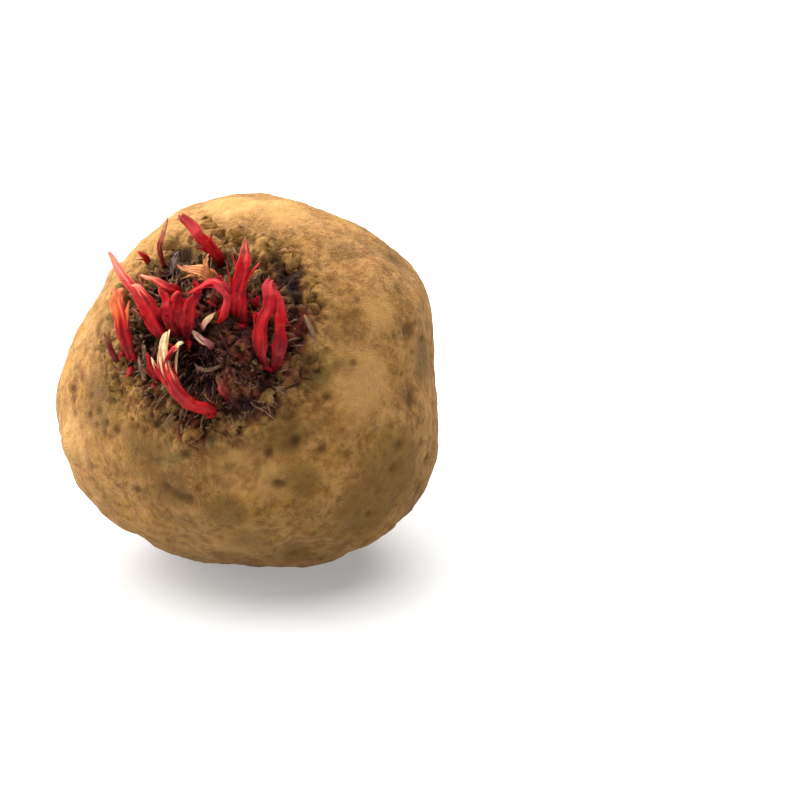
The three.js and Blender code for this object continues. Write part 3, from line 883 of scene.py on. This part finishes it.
PLAIN = {
    "sides": 16, "rows": 26, "flat": 0.62, "groove": 0.32, "twist": 0.8, "turn": 0, "blunt": 14, "tear": 2.4,
    "sway": 0.22, "peels": 2,
}
PEEL = {
    "sides": 8, "rows": 12, "flat": 0.5, "groove": 0.2, "twist": 1.6, "turn": 0, "blunt": 10, "tear": 1.6,
    "sway": 0.2, "peels": 0,
}
THIN = {"sides": 10, "rows": 14, "peels": 0}
THREAD = {"sides": 8, "rows": 14, "flat": 0.5, "peels": 1}
PEEL_POINTS = 4


def peel_away(maker, path, widths, look, number):
    """Adds narrow torn strips that split off a stalk's sides part of the way along it."""
    points = [place(*spot) for spot in path]
    last = PEEL_POINTS - 1
    for order in range(look["peels"]):
        start = random.uniform(0.25, 0.6)
        end = min(start + random.uniform(0.25, 0.45), 1)
        side = (points[-1] - points[0]).cross(TOWARDS).normalized() * (1 if order % 2 else -1)
        reach = widths[1] * MM * random.uniform(0.35, 0.75)
        lift = TOWARDS * MM * random.uniform(0.2, 0.9)
        strip = []
        for step in range(PEEL_POINTS):
            along = start + (end - start) * step / last
            off = side * (0.28 * widths[1] * MM + reach * (step / last) ** 2) + lift * (step / last)
            strip.append(facing(smooth_point(points, along) + off))
        width = widths[1] * random.uniform(0.26, 0.42)
        grow_stalk(maker, strip, (width, width, width * 0.5), PEEL, number + 0.37 * (order + 1))


# What grows from the crown: its node, slot, material and look, and each strand's widths and path.
STALKS = [
    ("shoot_top", "red_shoot", STALK_TORN, {"tear": 3.4, "groove": 0.38, "blunt": 30}, [
        ((2.4, 2.8, 2.6), [(-3, 25.5, 37), (-3.5, 27.5, 41.5), (-5.5, 29.5, 44), (-7.5, 32, 44.5),
                           (-11, 36, 43)])]),
    ("shoot_left_long", "red_shoot", STALK_SALMON, {"tear": 1.6, "twist": 1.1}, [
        ((2.7, 2.9, 1.4), [(-14.5, 9, 40), (-16.5, 11, 44), (-19.5, 16.5, 45), (-24, 23, 42),
                           (-28, 28.5, 37)])]),
    ("shoot_left_fork", "red_shoot", STALK_SALMON, {"tear": 1.6, "peels": 1}, [
        ((2, 2.2, 1.4), [(-15, 14, 41), (-16, 15, 47.5), (-17.5, 17, 50), (-19.5, 19.5, 49.5),
                         (-21.5, 21, 47.5)])]),
    ("shoot_across", "red_shoot", STALK_SALMON, {"turn": 0.5, "peels": 1}, [
        ((2, 2.2, 1.4), [(-11, 18.5, 40), (-12.5, 20, 44), (-14, 20.5, 45.5), (-17, 22, 45.5),
                         (-20, 23, 44)])]),
    ("shoot_left_low", "red_shoot", STALK_ORANGE, {"blunt": 30, "tear": 2.8, "flat": 0.55}, [
        ((2.6, 3.2, 3.2), [(-22.5, 4, 37), (-23, 7, 41.5), (-24.5, 12.5, 43), (-25.5, 18, 41.5),
                           (-26, 20.5, 39.5)])]),
    ("shoot_left_thin", "dark_shoot", STALK_DARK, THIN, [
        ((1.4, 1.5, 1), [(-26, 4, 36), (-27, 6.5, 39.5), (-28.5, 10.5, 39.5)])]),
    ("shoot_right_tall", "red_shoot", STALK_BRIGHT, {"twist": 1.1, "groove": 0.42, "peels": 3}, [
        ((5, 3.6, 2.6), [(1, 13.5, 41), (1, 16, 45), (1.2, 20, 47), (2.5, 25, 48), (3, 30, 47)])]),
    ("shoot_right_folded", "red_shoot", STALK_DEEP, {"groove": 0.3, "tear": 2.4, "peels": 1}, [
        ((2.2, 3.4, 2.6), [(8, 2, 40), (6.4, 5, 44.5), (5.8, 9, 46.5), (6.9, 14, 47.5), (7.9, 18.5, 47),
                           (8.3, 22.5, 45)]),
        ((2.2, 3.2, 2), [(8.4, 2, 40), (9.8, 5, 44.5), (10.6, 9, 46.3), (10.4, 14, 47), (9.6, 18, 46),
                         (9.4, 20.5, 44.8)])]),
    ("shoot_low_curl", "red_shoot", STALK_CREAM, {"groove": 0.32, "blunt": 10}, [
        ((3.8, 3.6, 2.4), [(-4.5, -6.6, 40), (-6, -6, 45.5), (-9.6, -4.4, 47.5), (-13, -0.6, 49),
                           (-14.5, 4.6, 49),
                           (-14, 10.5, 48)]),
        ((1.8, 1.8, 1.2), [(-14.3, 3.5, 49), (-13, 6.5, 49.5), (-11, 8, 49.5)])]),
    ("shoot_low_thin", "red_shoot", STALK_DEEP, {**THIN, "peels": 1}, [
        ((1.6, 1.5, 1), [(-16.5, 0, 41), (-17.5, 1.5, 44), (-18, 3.5, 45.5), (-18.5, 6, 46)])]),
    ("shoot_centre", "red_shoot", STALK_DEEP,
     {"blunt": 20, "tear": 3.6, "flat": 0.5, "groove": 0.5, "peels": 3}, [
        ((4.8, 5.8, 4.2), [(-11.8, 9.4, 40), (-11.6, 12.4, 45), (-11.2, 15.6, 46.6), (-11.2, 18.4, 47)]),
        ((2.2, 2.8, 1.6), [(-12.8, 10, 42), (-13.8, 13, 46), (-14.2, 16.2, 47.6), (-15, 19.4, 47.2)]),
        ((2.4, 3, 1.8), [(-10.6, 9.8, 42), (-9.4, 12.8, 46), (-8.6, 16.5, 48.2), (-7.4, 19.8, 49.4)])]),
    ("shoot_arch", "red_shoot", STALK_ROSE, {"groove": 0.2}, [
        ((2.6, 2.6, 1.8), [(-3, 12.5, 41), (-1.5, 15, 48), (-0.7, 18.5, 51), (-2.8, 20.8, 51.5),
                           (-5.6, 21, 51.5),
                           (-9, 19, 50.5)])]),
    ("shoot_under_arch", "dark_shoot", STALK_DARK, THIN, [
        ((1.6, 1.8, 1), [(-5.5, 15.5, 40), (-4.5, 17, 44), (-4, 20, 46.5)])]),
    ("dry_leaf", "dry_leaf", DRY_LEAF, {"flat": 0.35, "groove": 0.3, "tear": 4, "blunt": 12, "peels": 3}, [
        ((1.8, 2.8, 1.8), [(-3, 21.5, 39), (-5, 23, 43.5), (-7.5, 24, 44.5), (-10.5, 24.5, 44)]),
        ((1.8, 1.4, 0.8), [(-5.8, 23.2, 43.8), (-5.8, 25, 45.5), (-5.5, 27, 46.5)])]),
    ("pale_sliver_upper", "pale_sliver", SLIVER, {**THIN, "tear": 1.6}, [
        ((1.2, 1.3, 1), [(-7, 11, 41), (-6.5, 12, 45), (-5.5, 13.2, 46.5), (-3.8, 14.8, 47)])]),
    ("pale_sliver_lower", "pale_sliver", DULL_SLIVER, {**THIN, "tear": 1.6}, [
        ((2, 1.8, 1.2), [(-4, 7, 41), (-5, 8, 45), (-6.5, 9, 46), (-8.5, 11, 46)])]),
    ("dry_stalk_top", "dark_shoot", STALK_RUST, {**THIN, "rows": 16}, [
        ((1.4, 1.2, 0.9), [(-16, 25.5, 35), (-16.5, 29, 39.5), (-16, 32, 40), (-15, 35.5, 39)])]),
    ("bud_top_left", "red_shoot", STALK_TORN, {**THIN, "peels": 1}, [
        ((1.6, 1.6, 1), [(-19.5, 26, 32), (-20, 27.5, 36), (-21.5, 28.5, 37)])]),
    ("dry_sheath_grey", "dry_stub", DRY_GREY, {"flat": 0.4, "sides": 12, "rows": 14}, [
        ((1.4, 1.4, 1), [(-14, 23, 37), (-13.5, 25.5, 41.5), (-12, 28.5, 42)])]),
    ("bud_dark", "dark_shoot", STALK_DARK, {"blunt": 6, "tear": 3}, [
        ((2.6, 2.8, 1.8), [(-0.5, -4, 41), (-1.5, -2, 45), (-3.5, 0.5, 46)])]),
    ("bud_right", "red_shoot", STALK_DEEP, {**THIN, "rows": 12, "peels": 1}, [
        ((1.8, 1.8, 1.2), [(4.8, 16, 40), (5, 17, 42.5), (5.5, 18.5, 44)])]),
    ("dry_fibre_left_1", "dry_stub", DRY_FIBRE, THREAD, [
        ((1, 1, 0.8), [(-19.5, -1, 38), (-20, 2, 42.5), (-21, 5.5, 42.5)])]),
    ("dry_fibre_left_2", "dry_stub", DRY_FIBRE, THREAD, [
        ((1, 1, 0.8), [(-20, 4, 38), (-19.5, 6, 43), (-19.5, 8.5, 43.5)])]),
    ("dry_fibre_middle", "dry_stub", DRY_FIBRE, {**THREAD, "rows": 16}, [
        ((1, 1, 0.8), [(-9, 4, 39), (-7, 2.5, 43.5), (-4.5, 2.5, 44.5), (-2, 4, 44)])]),
    ("dry_fibre_right", "dry_stub", DRY_FIBRE, THREAD, [
        ((1.4, 1.2, 1), [(17.5, 8, 36.5), (17, 11, 40.5), (15.5, 14.5, 40.5)])]),
]


def finish_piece(piece, slot, *nodes):
    """Rounds a piece off, ties it to the root's body and hides the nodes it stands for. Its slot is not
    used.
    """
    rounding = piece.modifiers.new("rounding", "SUBSURF")
    rounding.levels = rounding.render_levels = 1
    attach(piece, BODY)
    if nodes:
        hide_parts(*nodes)


random.seed(7)
for number, (node, slot, material, changes, strands) in enumerate(STALKS):
    stalk_maker = bmesh.new()
    look = {**PLAIN, **changes}
    for order, (widths, path) in enumerate(strands):
        grow_stalk(stalk_maker, path, widths, look, number * 2 + order)
        if order == 0:
            peel_away(stalk_maker, path, widths, look, number)
    finish_piece(new_piece("grown_" + node, stalk_maker, material), slot, node)

# Old leaf stubs: their places across, up and towards the viewer, as the solid part has them, and widths.
STUBS = [
    ((4.3, 23, 39.6), 2.4), ((12, 26.5, 35), 5), ((16, 18.5, 37.8), 4.4), ((17.5, 3.5, 40), 3.6),
    ((6, 30, 34), 4.2), ((-0.5, 32.5, 33), 4), ((-7, 35, 29.4), 5), ((-15.5, 31, 31), 3.8),
    ((-21, 24, 34), 3.6), ((-25.5, 20, 33.4), 4), ((-28.5, 8.5, 34.5), 3.8), ((-26, -0.5, 37.4), 3.6),
    ((-19, -6.5, 40), 4.6), ((-9.5, -11.5, 41.5), 5.6), ((0.5, -10, 43), 4.4), ((7, -3.5, 43.2), 5),
    ((13, 4, 41.6), 4),
]
CROWN_CENTRE = place(-9, 13, 44)
DUSTY_ABOVE = 21
STUB_RISE = 1
STUB_ROOTED = 1.8
STUMP = {
    **PEEL, "sides": 20, "flat": 0.55, "groove": 0.12, "twist": 0.3, "blunt": 12, "tear": 3, "sway": 0.12,
}


def along_skin(way, out):
    """The way along the skin that comes nearest to a given one, from the way the skin faces."""
    return (way - out * way.dot(out)).normalized()


def outwards(turn, out):
    """The way along the skin at a turn round the crown, from the way the skin faces."""
    return along_skin(ACROSS * cos(turn) + UP * sin(turn), out)


def bent_path(base, out, away, rises):
    """A path from a place on the skin, given by how far its points rise out of it and lean away."""
    return [facing(base + (out * rise + away * lean) * MM) for rise, lean in rises]


def grow_stump(maker, spot, width, number):
    """Grows one torn leaf base out of the crown, which leans away from the crown's centre."""
    base, out = on_root(root_skin, spot[0], spot[1])
    away = along_skin(base - CROWN_CENTRE, out)
    rises = ((-STUB_ROOTED, -0.3), (0, 0), (STUB_RISE * 0.6, 0.5), (STUB_RISE, 1.3))
    path = bent_path(base, out, away, rises)
    grow_stalk(maker, path, (width * 1.1, width * 0.9, width * 0.6), STUMP, number, away)


for number, (spot, width) in enumerate(STUBS):
    stub_maker = bmesh.new()
    grow_stump(stub_maker, spot, width, number * 3.1)
    node = f"old_leaf_stub_{number + 1:02d}"
    crust = DUSTY_STUB if spot[1] > DUSTY_ABOVE else SOILED_STUB
    finish_piece(new_piece("torn_" + node, stub_maker, crust), "dry_stub", node)

# Dry scales, fibres, crumbs of soil and rootlets

SCATTER_ACROSS, SCATTER_UP = -5.5, 9
SCALE_GRID = (2, 3)
SCALE_ROOTED = 0.5
SCALE_THICK = 0.22


def near_crown(low, high):
    """A random place on the root between two distances from the crown's dark middle, with its ways."""
    turn = random.uniform(0, 2 * pi)
    far = sqrt(random.uniform(low * low, high * high))
    point, out = on_root(root_skin, far * cos(turn) + SCATTER_ACROSS, far * sin(turn) + SCATTER_UP)
    return point, out, outwards(turn, out)


def finish_scatter(name, maker, material):
    """Makes a piece of what is scattered and ties it to the root's body."""
    piece = new_piece(name, maker, material)
    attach(piece, BODY)


def grow_scale(maker, base, out, across, width, rise, lean, number):
    """Shapes a small grid into a curved ragged leaf scale that stands out of the crown, and thickens it."""
    layers = strand_layers(maker)
    columns, rows = SCALE_GRID
    grid = bmesh.ops.create_grid(maker, x_segments=columns, y_segments=rows, size=0.5)["verts"]
    away = across.cross(out)
    for vert in grid:
        side, up = vert.co.x * 2, vert.co.y + 0.5
        ragged = 0.75 + 0.7 * noise.noise(Vector((side * 1.7, number * 5.3, 0)))
        tall = (rise * ragged * (1 - 0.35 * side * side) + SCALE_ROOTED) * up - SCALE_ROOTED
        bow = 0.32 * width * (1 - side * side) + lean * up * up
        ripple = 0.12 * width * noise.noise(Vector((side * 2.4, up * 1.5, number * 2.1)))
        aside = across * side * width / 2 * (1 - 0.2 * up)
        vert.co = base + (aside + out * tall + away * (bow + ripple - 0.3 * width)) * MM
        for layer, value in zip(layers, (up, (side + 1) / 2, number)):
            vert[layer] = value
    faces = list(dict.fromkeys(face for vert in grid for face in vert.link_faces))
    bmesh.ops.solidify(maker, geom=faces, thickness=SCALE_THICK * MM)


def scatter_scales(name, count, low, high, widths, lengths, material):
    """Scatters small curled tongues of dead leaf that lean away from the crown's middle."""
    maker = bmesh.new()
    for number in range(count):
        point, out, away = near_crown(low, high)
        across = (out.cross(away) + away * random.uniform(-0.9, 0.9)).normalized()
        length = random.uniform(*lengths)
        lift = random.uniform(0.15, 0.65)
        width = random.uniform(*widths)
        lean = -length * (1 - lift) * random.choice((1, 1, 0.3))
        grow_scale(maker, point, out, across, width, length * lift, lean, number)
    finish_scatter(name, maker, material)


FIBRE = {
    **PEEL, "sides": 5, "rows": 7, "flat": 0.7, "groove": 0, "twist": 1, "blunt": 6, "tear": 0, "sway": 0.3,
}


def scatter_fibres(name, count, low, high, lengths, widths, material):
    """Scatters thin dry fibres that lie on the crown and run outwards from it."""
    maker = bmesh.new()
    for number in range(count):
        point, out, away = near_crown(low, high)
        heading = (away + out.cross(away) * random.gauss(0, 0.45)).normalized()
        sway = out.cross(heading) * random.gauss(0, 0.25)
        length = random.uniform(*lengths) * MM
        lifts = (-0.4, random.uniform(0.3, 1), random.uniform(0.3, 1.4), 0.3)
        path = []
        for share, lift in zip((0, 0.33, 0.66, 1), lifts):
            across, up, _ = facing(point + (heading + sway * share) * length * share)
            ground, _ = on_root(root_skin, across, up)
            path.append(facing(ground + out * lift * MM))
        width = random.uniform(*widths)
        grow_stalk(maker, path, (width, width * 0.9, width * 0.4), FIBRE, number)
    finish_scatter(name, maker, material)


def scatter_crumbs(name, count, low, high, sizes):
    """Scatters small crumbs of dry soil that sit half sunk in the crown."""
    maker = bmesh.new()
    for number in range(count):
        point, out, _ = near_crown(low, high)
        size = random.uniform(*sizes) * random.uniform(0.5, 1)
        crumb = bmesh.ops.create_icosphere(maker, subdivisions=1, radius=size * MM)["verts"]
        seed = Vector((number * 1.3, 0, 5))
        for vert in crumb:
            vert.co *= 1 + 0.7 * noise.noise(vert.co / (size * MM) + seed)
            vert.co += point + out * size * MM * 0.25
    finish_scatter(name, maker, CRUMBS)


# Small red leaf scales round the shoots' bases: across and up, with their length and width.
BUDS = [
    (-15.5, 8, 2.6, 1.6), (-12.5, 7, 2.2, 1.5), (-9.6, 9.4, 2.6, 1.4), (-3.2, 14.4, 2.6, 1.5),
    (2.6, 12.2, 2.4, 1.8), (6.6, 3.4, 2.2, 1.4), (10.2, 3.8, 2, 1.3), (-22.4, 3, 2.4, 1.5),
    (-20.4, 2, 2.2, 1.2), (-4.2, -7.4, 2.4, 1.8), (-17.6, -0.4, 2, 1.2), (-8.4, 20.6, 2.4, 1.4),
    (-2.6, 22.6, 2, 1.2), (4, 14.4, 2.6, 1.5), (-6.6, 8.2, 2.2, 1.3), (-24.6, 6.6, 2, 1.2),
    (0.6, 25.4, 2, 1.2), (-17.2, 12.4, 2.2, 1.3), (-5.4, 17.6, 2.4, 1.3), (11.6, 12, 1.8, 1.1),
]
BUD_ROOTED = 0.8
BUD_BENDS = ((0.25, 0.1), (0.45, 0.45), (0.5, 0.9))


def grow_buds():
    """Grows the small red leaf scales, which lean outwards."""
    maker = bmesh.new()
    look = {**PEEL, "flat": 0.55, "tear": 1.2, "blunt": 5}
    for number, (across, up, length, width) in enumerate(BUDS):
        base, out = on_root(root_skin, across, up)
        away = outwards(2.4 * number, out)
        rises = [(-BUD_ROOTED, 0), *((rise * length, lean * length) for rise, lean in BUD_BENDS)]
        path = bent_path(base, out, away, rises)
        grow_stalk(maker, path, (width, width, width * 0.5), look, number, away)
    piece = new_piece("red_leaf_scales", maker, STALK_DEEP)
    finish_piece(piece, "red_shoot")


ROOTLET = {**FIBRE, "rows": 10, "sway": 1.5}
ROOTLETS_FROM, ROOTLETS_TO = 45, 62
BESIDE_TAIL = 0.03
ABOVE_TABLE = 0.0004


def grow_rootlets(count):
    """Grows thin hairs from the tap root and its flare, which trail towards its tip and hang a little."""
    maker = bmesh.new()
    for number in range(count):
        way = along_skin(random_way(), TAIL_WAY)
        start = ROOT_MIDDLE + TAIL_WAY * random.uniform(ROOTLETS_FROM, ROOTLETS_TO) * MM + way * BESIDE_TAIL
        base, out, _, _ = root_skin.ray_cast(start, -way)
        if base is None:
            continue
        length = random.uniform(2, 8) * MM
        hang = Vector((random.uniform(-0.3, 0.3), random.uniform(-0.3, 0.3), -0.25)) * length
        path = []
        for share in (0, 0.3, 0.65, 1):
            trail = TAIL_WAY * length * 0.8 * share ** 1.5
            there = base + out * length * 0.5 * share + trail + hang * share * share
            there -= out * 0.4 * MM * (1 - share)
            there.z = max(there.z, ABOVE_TABLE)
            path.append(facing(there))
        width = random.uniform(0.3, 0.7)
        grow_stalk(maker, path, (width, width * 0.7, width * 0.25), ROOTLET, number)
    finish_scatter("tap_root_hairs", maker, DRY_FIBRE)


def grow_root_end():
    """Grows the thin withered end of the tap root, which curls off its blunt tip."""
    maker = bmesh.new()
    ways = ((-2.5, 0, 0), (0.5, 0.2, 0.1), (2.6, 1, -0.6), (4.4, 2.6, -0.4), (5.6, 4.4, 0.8))
    path = [facing(tail_tip + (TAIL_WAY * back + ACROSS * right + UP * up) * MM) for back, right, up in ways]
    grow_stalk(maker, path, (2.4, 1.2, 0.5), {**PEEL, "rows": 22, "sides": 10, "sway": 0.5}, 3)
    piece = new_piece("tap_root_end", maker, SKIN)
    finish_piece(piece, "root_skin")


random.seed(11)
scatter_scales("dead_scales_heart", 170, 0, 14, (0.8, 2), (1, 2.8), DRY_HEART)
scatter_scales("dead_scales_ring", 170, 10, 20, (0.8, 2), (0.8, 2.2), DRY_STUB)
scatter_fibres("dry_fibres_ring", 120, 11, 19, (2, 5), (0.25, 0.5), DRY_FIBRE)
scatter_fibres("dry_fibres_heart", 90, 0, 12, (2, 5), (0.25, 0.6), DRY_HEART)
scatter_fibres("pale_fibres_heart", 50, 3, 13, (1.5, 4), (0.2, 0.4), DRY_FIBRE)
scatter_crumbs("crown_crumbs", 300, 2, 20, (0.15, 0.5))
grow_buds()
grow_rootlets(34)
grow_root_end()
